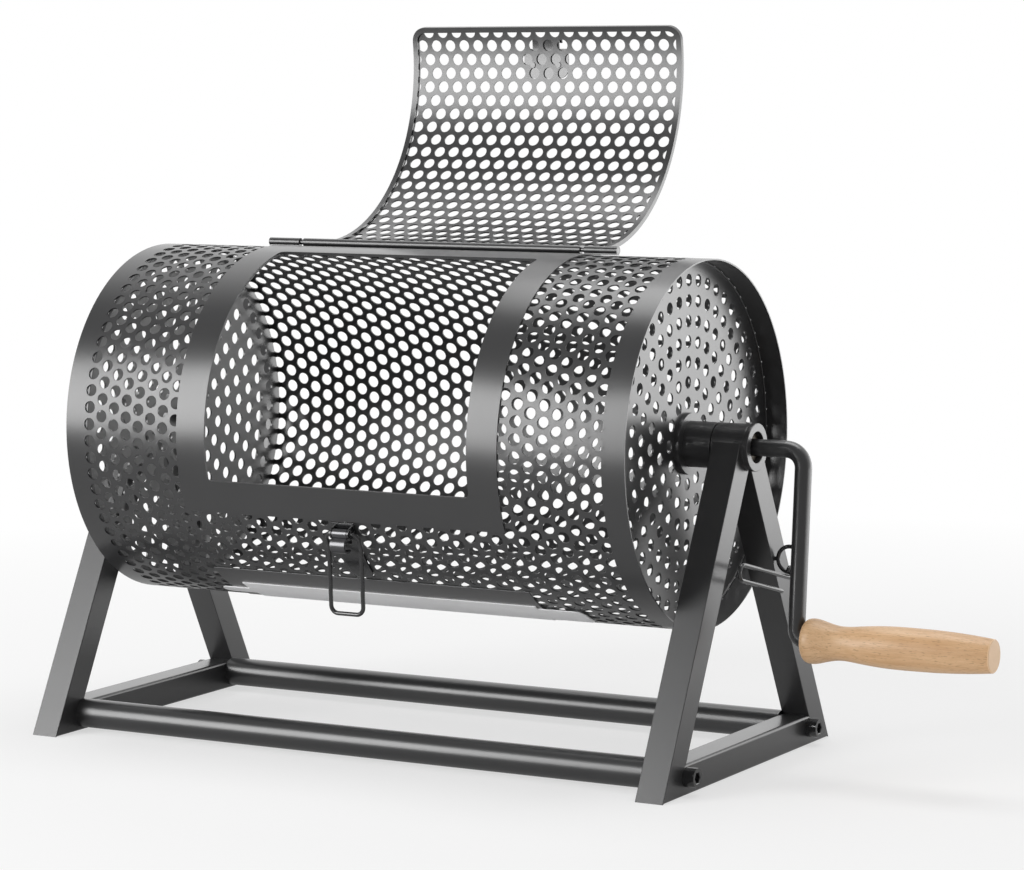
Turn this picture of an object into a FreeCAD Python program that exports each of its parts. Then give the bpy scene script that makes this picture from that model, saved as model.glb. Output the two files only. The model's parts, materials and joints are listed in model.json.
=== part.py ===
"""Raffle drum: a perforated steel drum on two A frames, turned by a crank with a wooden grip.

Everything is drawn about the drum. X runs along the drum axis towards the crank, Y towards the back
and Z up, with the floor at z = 0. Angles round the drum start at the front and rise over the top.
The finished pieces are then moved so that the origin is the middle of the footprint of the whole.
"""
import FreeCAD, Part

import math
import os

# Driving dimensions, in millimetres and degrees.

# Drum
DRUM_RADIUS = 152.4
DRUM_LENGTH = 536.0
SHEET = 1.2
FLOOR_CLEARANCE = 113.2

# Mouth of the drum and the plain sheets round it
MOUTH_HALF_WIDTH = 126.0
MOUTH_LOW = -13.4
MOUTH_HIGH = 78.5
MOUTH_CORNER = 4.5
SURROUND_BAND = 28.0
SURROUND_LOW = -24.3
SURROUND_HIGH = 104.0
LOWER_BAND_HIGH = -49.5
LOWER_BAND_LOW = -74.0
BARE_PLATE_THICKNESS = 0.8

# The bare plate and its two tongues: left end, right end, lower edge, upper edge, corner radius
BARE_PLATE_STRIPS = [
    (-137.0, 149.0, -73.0, -58.5, 0.0),
    (120.0, 191.0, -71.0, -60.2, 8.0),
    (-167.0, -120.0, -68.2, -63.5, 5.5),
]

# End plates: rings of round holes, each ring with six holes fewer than the ring outside it
END_RECESS = 20.0
END_PLATE_THICKNESS = 1.5
END_LIP_HEIGHT = 1.4
END_HOLE_DIAMETER = 10.5
END_RING_SPACING = 16.8
END_RINGS = 7
END_HOLES_IN_INNER_RING = 12
END_INNER_RING_RADIUS = 33.6
END_RING_FIRST_HOLE = -1.2

# Hubs, axles and bearings
HUB_FLANGE_DIAMETER = 51.0
HUB_FLANGE_THICKNESS = 4.0
HUB_DIAMETER = 38.0
HUB_GAP = 0.5
GRUB_SCREW_DIAMETER = 6.0
GRUB_SCREW_LENGTH = 10.0
ROD_DIAMETER = 14.0
AXLE_INSIDE_DRUM = 18.0
HOUSING_DIAMETER = 38.0
HOUSING_BORE = 30.0
HOUSING_OVERHANG = 2.0
BUSH_LENGTH = 24.0
END_RING_DIAMETER = 39.5
END_RING_BORE = 25.6
END_RING_THICKNESS = 4.5
RUNNING_CLEARANCE = 0.05

# Stand
TUBE = 25.0
TUBE_WALL = 1.5
FOOT_HALF_DEPTH = 158.4
FRAME_CLEARANCE = 11.5
LEG_SETBACK = 0.5
RAIL_DIAMETER = 25.0
RAIL_WALL = 1.5
RAIL_INSET = 41.4
RAIL_HEIGHT = 15.0
RAIL_PLUG_LENGTH = 30.0
BOLT_DIAMETER = 10.0
BOLT_HEAD_DIAMETER = 16.0
BOLT_HEAD_HEIGHT = 10.0
BOLT_SOCKET_WIDTH = 8.0
BOLT_SOCKET_DEPTH = 5.0
BOLT_GRIP_IN_PLUG = 20.0
BOLT_HOLE_CLEARANCE = 0.3

# Crank
CRANK_OFFSET = 41.6
CRANK_THROW = 153.0
CRANK_SWING = 5.5
CRANK_UPPER_BEND = 15.0
CRANK_LOWER_BEND = 8.5
GRIP_GAP = 0.3
GRIP_STEM_DIAMETER = 10.0
GRIP_LENGTH = 161.1
GRIP_BORE_DEPTH = 145.0
STEM_END_GAP = 3.0
RETAINER_INSET = 6.0
RETAINER_THICKNESS = 1.2
RETAINER_HEIGHT = 1.0
RETAINER_PLAY = 0.4
# Distance from the end of the grip at the arm, and diameter there.
GRIP_OUTLINE = [(0.0, 29.0), (1.8, 34.2), (7.0, 36.6), (16.0, 33.4), (29.0, 27.9), (46.0, 29.6),
                (62.0, 32.7), (79.0, 34.2), (96.0, 34.3), (113.0, 33.8), (130.0, 32.3), (147.0, 29.8)]
GRIP_END_DIAMETER = 26.8

# Door
DOOR_HALF_WIDTH = 137.0
DOOR_FREE_ANGLE = -17.2
DOOR_OPENING = 184.5
DOOR_SEAT_GAP = 0.3
DOOR_RIM_WIDTH = 5.0
DOOR_RIM_THICKNESS = 4.0
DOOR_CORNER = 13.0
DOOR_SHEET_IN_RIM = 3.5
HINGE_ANGLE = 98.8
HINGE_ROD_DIAMETER = 4.0
HINGE_TUBE_DIAMETER = 7.0
HINGE_GAP = 0.3
KNUCKLE_START = 141.0
KNUCKLE_LENGTH = 31.0
KNUCKLE_FOOT_WIDTH = 4.0

# Keeper on the door
KEEPER_HALF_WIDTH = 22.5
KEEPER_NECK_HALF_WIDTH = 13.5
KEEPER_THICKNESS = 1.5
KEEPER_FROM_EDGE = 11.5
KEEPER_NECK_LENGTH = 9.0
KEEPER_LENGTH = 35.5
KEEPER_CORNER = 9.0
KEEPER_LIP = 7.5
KEEPER_RIVET_DIAMETER = 5.0
KEEPER_RIVET_HEAD = 1.4
KEEPER_RIVET_SPACING = 26.0
KEEPER_RIVET_FROM_END = 12.0

# Latch on the drum
LATCH_BASE_HALF_WIDTH = 10.6
LATCH_BASE_HIGH = -24.8
LATCH_BASE_LOW = -48.0
LATCH_BASE_THICKNESS = 1.5
LATCH_BASE_CORNER = 8.0
LATCH_PIVOT_ANGLE = -27.5
LATCH_PIN_DIAMETER = 6.0
LATCH_PIN_HALF_LENGTH = 9.8
LATCH_EAR_THICKNESS = 1.8
LATCH_EAR_HALF_WIDTH = 4.4
LEVER_HALF_WIDTH = 7.0
LEVER_BARREL_DIAMETER = 8.2
LEVER_BARREL_LIFT = 0.5
LEVER_CURL_DIAMETER = 13.5
LEVER_SHEET = 1.6
LEVER_CURL_DROP = 8.2
LEVER_CURL_LIFT = 4.8
LEVER_CURL_GAP_ANGLE = 55.0
LEVER_SIDE_GAP = 0.4
BAIL_WIRE = 3.6
BAIL_HALF_WIDTH = 15.5
BAIL_TAIL = 7.0
BAIL_BEND = 6.5
BAIL_SHOULDER_IN = 6.0
BAIL_SHOULDER_DROP = 13.0
BAIL_LEAN = 3.0
BAIL_DROP = 67.9

# Wire hook on the stand
HOOK_EYE_DROP = 97.6
HOOK_EYE_FROM_EDGE = 22.3855
HOOK_EYE_RADIUS = 10.8
HOOK_EYE_WIRE = 3.4
HOOK_EYE_SHANK = 2.6
HOOK_WIRE = 3.6
HOOK_CURL_RADIUS = 4.2
HOOK_CURL_ANGLE = 270.0
HOOK_RISE = 14.0
HOOK_LENGTH = 97.0
HOOK_RETURN_LENGTH = 84.5
HOOK_WIDTH = 12.6

# Derived sizes and places
AXIS_HEIGHT = FLOOR_CLEARANCE + DRUM_RADIUS
DRUM_HALF = DRUM_LENGTH / 2
SHELL_INNER = DRUM_RADIUS - SHEET
SURROUND_OUTER = DRUM_RADIUS + SHEET
END_FACE = DRUM_HALF - END_RECESS
FRAME_INNER = DRUM_HALF + FRAME_CLEARANCE
FRAME_OUTER = FRAME_INNER + TUBE
HOUSING_INNER = FRAME_INNER - HOUSING_OVERHANG
HOUSING_OUTER = FRAME_OUTER + HOUSING_OVERHANG
HOUSING_FACE = HOUSING_OUTER + END_RING_THICKNESS
HUB_OUTER = HOUSING_INNER - HUB_GAP
AXLE_START = END_FACE - AXLE_INSIDE_DRUM
ROD_RADIUS = ROD_DIAMETER / 2
RAIL_DEPTH = FOOT_HALF_DEPTH - RAIL_INSET
ARM_X = HOUSING_FACE + CRANK_OFFSET
GRIP_START = ARM_X + CRANK_LOWER_BEND + GRIP_GAP
GRIP_DEPTH = -CRANK_THROW * math.sin(math.radians(CRANK_SWING))
GRIP_HEIGHT = AXIS_HEIGHT - CRANK_THROW * math.cos(math.radians(CRANK_SWING))
HINGE_RADIUS = SURROUND_OUTER + HINGE_GAP + HINGE_TUBE_DIAMETER / 2
RIM_INNER = SURROUND_OUTER + DOOR_SEAT_GAP
RIM_OUTER = RIM_INNER + DOOR_RIM_THICKNESS
PANEL_INNER = RIM_INNER + (DOOR_RIM_THICKNESS - SHEET) / 2
PANEL_OUTER = PANEL_INNER + SHEET
LATCH_BASE_TOP = DRUM_RADIUS + LATCH_BASE_THICKNESS
LATCH_PIVOT_RADIUS = LATCH_BASE_TOP + LEVER_BARREL_DIAMETER / 2 + LEVER_BARREL_LIFT
HOOK_PLANE = FRAME_OUTER + HOOK_EYE_SHANK + HOOK_EYE_RADIUS

X_AXIS = FreeCAD.Vector(1, 0, 0)
Y_AXIS = FreeCAD.Vector(0, 1, 0)
Z_AXIS = FreeCAD.Vector(0, 0, 1)
AXIS_POINT = FreeCAD.Vector(0, 0, AXIS_HEIGHT)


# Shapes that several pieces use

def on_drum(radius, angle, x=0.0):
    """The point at a radius and angle round the drum."""
    turn = math.radians(angle)
    return FreeCAD.Vector(x, -radius * math.cos(turn), AXIS_HEIGHT + radius * math.sin(turn))


def outward(angle):
    """The unit direction straight out from the drum axis at an angle."""
    turn = math.radians(angle)
    return FreeCAD.Vector(0, -math.cos(turn), math.sin(turn))


def downward(angle):
    """The unit direction along the drum's surface, down the front, at an angle."""
    turn = math.radians(angle)
    return FreeCAD.Vector(0, -math.sin(turn), -math.cos(turn))


def rod(start, end, radius):
    """A round bar between two points."""
    along = end - start
    return Part.makeCylinder(radius, along.Length, start, along)


def tube(start, end, outer_radius, inner_radius):
    """A round tube between two points."""
    return rod(start, end, outer_radius).cut(rod(start, end, inner_radius))


def axial(x_start, x_end, centre):
    """Two points on a line along X through a centre."""
    start = FreeCAD.Vector(x_start, centre.y, centre.z)
    end = FreeCAD.Vector(x_end, centre.y, centre.z)
    return start, end


def prism(outline, x_start, x_end):
    """An outline of (y, z) points drawn out along X."""
    points = [FreeCAD.Vector(x_start, y, z) for y, z in outline]
    face = Part.Face(Part.makePolygon(points + points[:1]))
    return face.extrude(FreeCAD.Vector(x_end - x_start, 0, 0))


def curved_sheet(half_width, inner_radius, outer_radius, low, high, low_corner=0.0, high_corner=0.0):
    """A sheet that follows the drum, with its lower and upper corners rounded where a radius is given."""
    corners = [on_drum(inner_radius, low, -half_width), on_drum(outer_radius, low, -half_width),
               on_drum(outer_radius, low, half_width), on_drum(inner_radius, low, half_width)]
    face = Part.Face(Part.makePolygon(corners + corners[:1]))
    sheet = face.revolve(AXIS_POINT, X_AXIS, low - high)
    for angle, radius in ((low, low_corner), (high, high_corner)):
        if radius > 0:
            sheet = sheet.makeFillet(radius, corner_edges(sheet, half_width, inner_radius, angle))
    return sheet


def corner_edges(sheet, half_width, inner_radius, angle):
    """The two edges through the thickness of a curved sheet at one of its ends."""
    feet = [on_drum(inner_radius, angle, side * half_width) for side in (-1, 1)]
    straight = [edge for edge in sheet.Edges if isinstance(edge.Curve, Part.Line)]
    radial = [edge for edge in straight if abs(edge.tangentAt(edge.FirstParameter).x) < 0.5]
    return [edge for edge in radial if min(near(edge, foot) for foot in feet) < 1e-4]


def near(edge, point):
    """How far the nearer end of an edge lies from a point."""
    return min((vertex.Point - point).Length for vertex in edge.Vertexes)


def radial_block(x_start, x_end, angle, half_width, inner_radius, outer_radius):
    """A block that stands straight out from the drum axis."""
    side = downward(angle) * half_width
    base = on_drum(inner_radius, angle, x_start)
    points = [base - side, base + side]
    top = on_drum(outer_radius, angle, x_start)
    points += [top + side, top - side]
    face = Part.Face(Part.makePolygon(points + points[:1]))
    return face.extrude(FreeCAD.Vector(x_end - x_start, 0, 0))


def bent_rod(points, bends, radius):
    """Round bar through points, with an arc of the given radius at each point between the ends."""
    pieces = []
    start = points[0]
    for index in range(1, len(points) - 1):
        corner = points[index]
        before = (corner - points[index - 1]).normalize()
        after = (points[index + 1] - corner).normalize()
        turn = before.getAngle(after)
        bend = bends[index - 1]
        set_back = bend * math.tan(turn / 2)
        arc_start = corner - before * set_back
        if (arc_start - start).Length > 1e-6:
            pieces.append(rod(start, arc_start, radius))
        axis = before.cross(after).normalize()
        centre = arc_start + axis.cross(before) * bend
        section = Part.Face(Part.Wire(Part.makeCircle(radius, arc_start, before)))
        pieces.append(section.revolve(centre, axis, math.degrees(turn)))
        start = corner + after * set_back
    if (points[-1] - start).Length > 1e-6:
        pieces.append(rod(start, points[-1], radius))
    return pieces[0].multiFuse(pieces[1:]).removeSplitter()


def other_end(shape):
    """The same piece at the other end of the drum."""
    return shape.mirror(FreeCAD.Vector(0, 0, 0), X_AXIS)


def other_side(shape):
    """The same piece on the front instead of the back of the stand."""
    return shape.mirror(FreeCAD.Vector(0, 0, 0), Y_AXIS)


def arc_angle(length, radius):
    """The angle that a length covers round the drum."""
    return math.degrees(length / radius)


# Stand

def leg_lean():
    """The angle of a rear leg, which puts its outer face on the side of the bearing housing."""
    reach = math.hypot(FOOT_HALF_DEPTH, AXIS_HEIGHT)
    offset = HOUSING_DIAMETER / 2 - LEG_SETBACK
    return math.atan2(AXIS_HEIGHT, -FOOT_HALF_DEPTH) - math.asin(offset / reach)


def leg_edge_depth(height):
    """How far back the outer edge of a rear leg lies at a height."""
    return FOOT_HALF_DEPTH + height / math.tan(leg_lean())


def mitre_point(inset):
    """A point on the mitre between foot bar and rear leg, a distance inside their outer faces."""
    lean = leg_lean()
    inner_depth = FOOT_HALF_DEPTH - TUBE / math.sin(lean) + TUBE / math.tan(lean)
    share = inset / TUBE
    return FOOT_HALF_DEPTH + (inner_depth - FOOT_HALF_DEPTH) * share, inset


def leg_outline(inset):
    """A rear leg seen along the drum, from the mitre up to the level of the drum axis."""
    lean = leg_lean()
    outline = []
    for y, z in (mitre_point(inset), mitre_point(TUBE - inset)):
        length = -y * math.cos(lean) + (AXIS_HEIGHT - z) * math.sin(lean)
        outline.append(((y, z), (y + length * math.cos(lean), z + length * math.sin(lean))))
    (outer_foot, outer_top), (inner_foot, inner_top) = outline
    return [outer_foot, inner_foot, inner_top, outer_top]


def rear_leg():
    """Square tube, mitred at the foot, coped to the bearing housing and ending at the front leg."""
    solid = prism(leg_outline(0), FRAME_INNER, FRAME_OUTER)
    hollow = prism(leg_outline(TUBE_WALL), FRAME_INNER + TUBE_WALL, FRAME_OUTER - TUBE_WALL)
    housing = rod(*axial(HOUSING_INNER, HOUSING_OUTER, AXIS_POINT), HOUSING_DIAMETER / 2)
    front_half = prism([(-FOOT_HALF_DEPTH, 0), (0, 0), (0, AXIS_HEIGHT), (-FOOT_HALF_DEPTH, AXIS_HEIGHT)],
                       FRAME_INNER, FRAME_OUTER)
    return solid.cut(hollow).cut(housing).cut(front_half)


def foot_outline(inset):
    """A foot bar seen along the drum."""
    right_foot = mitre_point(inset)
    right_top = mitre_point(TUBE - inset)
    return [(-right_foot[0], inset), right_foot, right_top, (-right_top[0], TUBE - inset)]


def foot_bar():
    """Square tube across the bottom of a frame, with the holes for the rail bolts."""
    solid = prism(foot_outline(0), FRAME_INNER, FRAME_OUTER)
    hollow = prism(foot_outline(TUBE_WALL), FRAME_INNER + TUBE_WALL, FRAME_OUTER - TUBE_WALL)
    bar = solid.cut(hollow)
    for side in (-1, 1):
        ends = axial(FRAME_INNER, FRAME_OUTER, rail_centre(side))
        bar = bar.cut(rod(*ends, BOLT_DIAMETER / 2 + BOLT_HOLE_CLEARANCE))
    return bar


def rail_centre(side):
    """The centre line of the front (-1) or rear (1) rail."""
    return FreeCAD.Vector(0, side * RAIL_DEPTH, RAIL_HEIGHT)


def rail(side):
    """Round tube between the two frames."""
    ends = axial(-FRAME_INNER, FRAME_INNER, rail_centre(side))
    return tube(*ends, RAIL_DIAMETER / 2, RAIL_DIAMETER / 2 - RAIL_WALL)


def at_rail_ends(piece):
    """A group of four: a piece made for one end of the rear rail, at every rail end."""
    pair = [piece, other_side(piece)]
    return Part.makeCompound(pair + [other_end(one) for one in pair])


def rail_plug():
    """Threaded plug in the end of a rail."""
    ends = axial(FRAME_INNER - RAIL_PLUG_LENGTH, FRAME_INNER, rail_centre(1))
    return tube(*ends, RAIL_DIAMETER / 2 - RAIL_WALL, BOLT_DIAMETER / 2)


def rail_bolt():
    """Socket head bolt through the foot bar into the plug."""
    centre = rail_centre(1)
    head = rod(*axial(FRAME_OUTER, FRAME_OUTER + BOLT_HEAD_HEIGHT, centre), BOLT_HEAD_DIAMETER / 2)
    shank = rod(*axial(FRAME_INNER - BOLT_GRIP_IN_PLUG, FRAME_OUTER, centre), BOLT_DIAMETER / 2)
    corner_radius = BOLT_SOCKET_WIDTH / math.sqrt(3)
    turns = [math.radians(60 * index) for index in range(6)]
    hexagon = [(centre.y + corner_radius * math.cos(turn), centre.z + corner_radius * math.sin(turn))
               for turn in turns]
    head_end = FRAME_OUTER + BOLT_HEAD_HEIGHT
    socket = prism(hexagon, head_end - BOLT_SOCKET_DEPTH, head_end)
    return head.fuse(shank).cut(socket)


def bearing_housing():
    """Short tube between the tops of the two legs of a frame."""
    return tube(*axial(HOUSING_INNER, HOUSING_OUTER, AXIS_POINT), HOUSING_DIAMETER / 2, HOUSING_BORE / 2)


def bearing_bush():
    """Plain bush that the axle runs in, behind the end ring."""
    start = HOUSING_OUTER - BUSH_LENGTH
    return tube(*axial(start, HOUSING_OUTER, AXIS_POINT), HOUSING_BORE / 2, ROD_RADIUS + RUNNING_CLEARANCE)


def housing_ring():
    """Ring on the outer end of a housing, which keeps the bush in."""
    ends = axial(HOUSING_OUTER, HOUSING_FACE, AXIS_POINT)
    return tube(*ends, END_RING_DIAMETER / 2, END_RING_BORE / 2)


def hook_eye_centre():
    """The middle of the ring that the wire hook hangs in."""
    height = AXIS_HEIGHT - HOOK_EYE_DROP
    return FreeCAD.Vector(HOOK_PLANE, leg_edge_depth(height) - HOOK_EYE_FROM_EDGE, height)


def hook_eye():
    """Wire ring on a shank, fixed to the outer face of the right rear leg."""
    centre = hook_eye_centre()
    ring = Part.makeTorus(HOOK_EYE_RADIUS, HOOK_EYE_WIRE / 2, centre, Y_AXIS)
    shank = rod(*axial(FRAME_OUTER, HOOK_PLANE - HOOK_EYE_RADIUS, centre), HOOK_EYE_WIRE / 2)
    return ring.fuse(shank)


def wire_hook():
    """Wire hook: a curl through the eye, a long shank, a half turn and a free end."""
    pivot = hook_eye_centre() - Z_AXIS * HOOK_EYE_RADIUS
    rise = math.radians(HOOK_RISE)
    along = FreeCAD.Vector(0, -math.cos(rise), math.sin(rise))
    across = FreeCAD.Vector(0, math.sin(rise), math.cos(rise))
    start = pivot - across * HOOK_CURL_RADIUS
    far_top = start + along * HOOK_LENGTH
    far_bottom = far_top - across * HOOK_WIDTH
    free_end = far_bottom - along * HOOK_RETURN_LENGTH
    turn = HOOK_WIDTH / 2
    wire = bent_rod([start, far_top, far_bottom, free_end], [turn, turn], HOOK_WIRE / 2)
    section = Part.Face(Part.Wire(Part.makeCircle(HOOK_WIRE / 2, start, along)))
    return wire.fuse(section.revolve(pivot, X_AXIS, HOOK_CURL_ANGLE)).removeSplitter()


# Drum

def mouth_cutter():
    """What the mouth takes out of the sheets of the drum."""
    margin = SHEET * 2
    return curved_sheet(MOUTH_HALF_WIDTH, SHELL_INNER - margin, SURROUND_OUTER + margin,
                        MOUTH_LOW, MOUTH_HIGH, MOUTH_CORNER, MOUTH_CORNER)


def drum_shell():
    """Rolled sheet of the drum, open at the mouth."""
    return tube(*axial(-DRUM_HALF, DRUM_HALF, AXIS_POINT), DRUM_RADIUS, SHELL_INNER).cut(mouth_cutter())


def mouth_surround():
    """Plain sheet lapped on the shell round the mouth."""
    sheet = curved_sheet(MOUTH_HALF_WIDTH + SURROUND_BAND, DRUM_RADIUS, SURROUND_OUTER,
                         SURROUND_LOW, SURROUND_HIGH)
    return sheet.cut(mouth_cutter())


def lower_band():
    """Plain sheet on the shell below the latch."""
    return curved_sheet(MOUTH_HALF_WIDTH + SURROUND_BAND, DRUM_RADIUS, SURROUND_OUTER,
                        LOWER_BAND_LOW, LOWER_BAND_HIGH)


def bare_plate():
    """Thin bare plate on the lower band, with a rounded tongue past each end of the band."""
    strips = []
    for left, right, low, high, corner in BARE_PLATE_STRIPS:
        strip = curved_sheet((right - left) / 2, SURROUND_OUTER, SURROUND_OUTER + BARE_PLATE_THICKNESS,
                             low, high, corner, corner)
        strip.translate(X_AXIS * ((left + right) / 2))
        strips.append(strip)
    return strips[0].multiFuse(strips[1:]).removeSplitter()


def end_plate():
    """Disc with rings of round holes and a low lip, turned out against the shell."""
    inner_face = END_FACE - END_PLATE_THICKNESS
    circles = [(0.0, 0.0, ROD_RADIUS)]
    for ring in range(END_RINGS):
        radius = END_INNER_RING_RADIUS + ring * END_RING_SPACING
        count = END_HOLES_IN_INNER_RING + 6 * ring
        for index in range(count):
            turn = math.radians(90 + END_RING_FIRST_HOLE + index * 360 / count)
            circles.append((radius * math.cos(turn), radius * math.sin(turn), END_HOLE_DIAMETER / 2))
    outline = Part.Wire(Part.makeCircle(SHELL_INNER, FreeCAD.Vector(inner_face, 0, AXIS_HEIGHT), X_AXIS))
    holes = []
    for y, z, radius in circles:
        centre = FreeCAD.Vector(inner_face, y, AXIS_HEIGHT + z)
        holes.append(Part.Wire(Part.makeCircle(radius, centre, X_AXIS)))
    face = Part.makeFace([outline] + holes, "Part::FaceMakerBullseye")
    disc = face.extrude(X_AXIS * END_PLATE_THICKNESS)
    lip = tube(*axial(END_FACE, END_FACE + END_LIP_HEIGHT, AXIS_POINT),
               SHELL_INNER, SHELL_INNER - END_PLATE_THICKNESS)
    return disc.fuse(lip).removeSplitter()


def grub_screw():
    """Headless screw from the surface of a hub down to the axle."""
    x = (END_FACE + HUB_FLANGE_THICKNESS + HUB_OUTER) / 2
    start = FreeCAD.Vector(x, 0, AXIS_HEIGHT + ROD_RADIUS)
    return rod(start, start + Z_AXIS * GRUB_SCREW_LENGTH, GRUB_SCREW_DIAMETER / 2)


def hub():
    """Flange disc and boss on an end plate, bored for the axle and tapped for its screw."""
    flange = rod(*axial(END_FACE, END_FACE + HUB_FLANGE_THICKNESS, AXIS_POINT), HUB_FLANGE_DIAMETER / 2)
    boss = rod(*axial(END_FACE, HUB_OUTER, AXIS_POINT), HUB_DIAMETER / 2)
    bore = rod(*axial(END_FACE, HUB_OUTER, AXIS_POINT), ROD_RADIUS)
    screw_start = FreeCAD.Vector(grub_screw().BoundBox.Center.x, 0, AXIS_HEIGHT)
    tapping = rod(screw_start, screw_start + Z_AXIS * HUB_DIAMETER, GRUB_SCREW_DIAMETER / 2)
    return flange.fuse(boss).cut(bore).cut(tapping)


def left_axle():
    """Short axle in the left hub and bearing."""
    return rod(*axial(-HOUSING_OUTER, -AXLE_START, AXIS_POINT), ROD_RADIUS)


def grip_centre(x):
    """A point on the axis of the grip."""
    return FreeCAD.Vector(x, GRIP_DEPTH, GRIP_HEIGHT)


STEM_END = GRIP_START + GRIP_BORE_DEPTH - STEM_END_GAP
RETAINER_START = STEM_END - RETAINER_INSET
RETAINER_SEAT = GRIP_STEM_DIAMETER / 2 - RETAINER_HEIGHT / 2


def crank_rod():
    """Round bar bent to a crank, turned down to a stem inside the grip."""
    shoulder = GRIP_START - GRIP_GAP
    points = [FreeCAD.Vector(AXLE_START, 0, AXIS_HEIGHT), FreeCAD.Vector(ARM_X, 0, AXIS_HEIGHT),
              grip_centre(ARM_X), grip_centre(shoulder)]
    bar = bent_rod(points, [CRANK_UPPER_BEND, CRANK_LOWER_BEND], ROD_RADIUS)
    stem = rod(grip_centre(shoulder), grip_centre(STEM_END), GRIP_STEM_DIAMETER / 2)
    groove = tube(grip_centre(RETAINER_START), grip_centre(RETAINER_START + RETAINER_THICKNESS),
                  GRIP_STEM_DIAMETER, RETAINER_SEAT)
    return bar.fuse(stem.cut(groove))


def grip_retainer():
    """Split ring in a groove of the stem."""
    ends = (grip_centre(RETAINER_START), grip_centre(RETAINER_START + RETAINER_THICKNESS))
    outer_radius = GRIP_STEM_DIAMETER / 2 + RETAINER_HEIGHT
    ring = tube(*ends, outer_radius, RETAINER_SEAT)
    slot_width = RETAINER_THICKNESS * 2
    corner = grip_centre(RETAINER_START) - Y_AXIS * slot_width / 2
    return ring.cut(Part.makeBox(RETAINER_THICKNESS, slot_width, outer_radius, corner))


def crank_grip():
    """Turned wooden grip, bored from the arm end, with a groove in the bore for the retainer."""
    bore = GRIP_STEM_DIAMETER / 2 + RUNNING_CLEARANCE
    groove = GRIP_STEM_DIAMETER / 2 + RETAINER_HEIGHT + RETAINER_PLAY
    groove_start = RETAINER_START - RETAINER_PLAY
    groove_end = RETAINER_START + RETAINER_THICKNESS + RETAINER_PLAY
    end = GRIP_START + GRIP_LENGTH
    profile = [FreeCAD.Vector(GRIP_START + x, GRIP_DEPTH, GRIP_HEIGHT + diameter / 2)
               for x, diameter in GRIP_OUTLINE]
    profile.append(FreeCAD.Vector(end, GRIP_DEPTH, GRIP_HEIGHT + GRIP_END_DIAMETER / 2))
    curve = Part.BSplineCurve()
    curve.interpolate(profile)
    inside = [(end, 0), (GRIP_START + GRIP_BORE_DEPTH, 0), (GRIP_START + GRIP_BORE_DEPTH, bore),
              (groove_end, bore), (groove_end, groove), (groove_start, groove), (groove_start, bore),
              (GRIP_START, bore)]
    corners = [profile[-1]]
    corners += [FreeCAD.Vector(x, GRIP_DEPTH, GRIP_HEIGHT + radius) for x, radius in inside]
    corners.append(profile[0])
    outline = Part.Wire([curve.toShape()] + Part.makePolygon(corners).Edges)
    return Part.Face(outline).revolve(grip_centre(GRIP_START), X_AXIS, 360)


def hinge_knuckle():
    """Short tube on a foot, welded to the surround, for one end of the hinge rod."""
    centre = on_drum(HINGE_RADIUS, HINGE_ANGLE)
    ends = axial(KNUCKLE_START, KNUCKLE_START + KNUCKLE_LENGTH, centre)
    foot = radial_block(KNUCKLE_START, KNUCKLE_START + KNUCKLE_LENGTH, HINGE_ANGLE,
                        KNUCKLE_FOOT_WIDTH / 2, DRUM_RADIUS, HINGE_RADIUS)
    body = rod(*ends, HINGE_TUBE_DIAMETER / 2).fuse(foot)
    body = body.cut(rod(*ends, HINGE_ROD_DIAMETER / 2 + RUNNING_CLEARANCE))
    return body.cut(rod(*axial(0, DRUM_HALF, AXIS_POINT), SURROUND_OUTER))


# Door, drawn closed and then swung open

HINGE_POINT = on_drum(HINGE_RADIUS, HINGE_ANGLE)
RIM_HINGE_ANGLE = HINGE_ANGLE - arc_angle(HINGE_TUBE_DIAMETER / 4, HINGE_RADIUS)


def opened(shape):
    """A piece of the closed door, swung up and over to where it rests open."""
    return shape.rotated(HINGE_POINT, X_AXIS, -DOOR_OPENING)


def door_outline(inset, inner_radius, outer_radius):
    """The door's curved outline, a distance inside its edges."""
    step = arc_angle(inset, RIM_OUTER)
    return curved_sheet(DOOR_HALF_WIDTH - inset, inner_radius, outer_radius,
                        DOOR_FREE_ANGLE + step, RIM_HINGE_ANGLE - step, DOOR_CORNER - inset)


def door_sheet():
    """The sheet of the door, as it lies in the groove of the rim."""
    inset = DOOR_RIM_WIDTH - DOOR_SHEET_IN_RIM
    return door_outline(inset, PANEL_INNER, PANEL_OUTER)


def door_rim():
    """Folded edge round the door, coped to the hinge sleeve."""
    margin = SHEET
    rim = door_outline(0, RIM_INNER, RIM_OUTER)
    rim = rim.cut(door_outline(DOOR_RIM_WIDTH, RIM_INNER - margin, RIM_OUTER + margin))
    return rim.cut(door_sheet()).cut(hinge_bar(DOOR_HALF_WIDTH, HINGE_TUBE_DIAMETER / 2))


def hinge_bar(half_length, radius):
    """A round bar on the hinge axis."""
    return rod(*axial(-half_length, half_length, HINGE_POINT), radius)


def door_panel():
    """Curved sheet of the door, coped to the sleeve and drilled for the keeper's rivets."""
    panel = door_sheet().cut(hinge_bar(DOOR_HALF_WIDTH, HINGE_TUBE_DIAMETER / 2))
    for rivet in keeper_rivet_shanks():
        panel = panel.cut(rivet)
    return panel


def door_hinge_sleeve():
    """Rolled edge of the door round the hinge rod."""
    sleeve = hinge_bar(DOOR_HALF_WIDTH, HINGE_TUBE_DIAMETER / 2)
    return sleeve.cut(hinge_bar(DOOR_HALF_WIDTH, HINGE_ROD_DIAMETER / 2))


def door_hinge_rod():
    """Hinge rod through the sleeve into both knuckles."""
    return hinge_bar(KNUCKLE_START + KNUCKLE_LENGTH, HINGE_ROD_DIAMETER / 2)


def keeper_angle(distance):
    """The angle at a distance from the free edge of the door."""
    return DOOR_FREE_ANGLE + arc_angle(distance, PANEL_OUTER)


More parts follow.
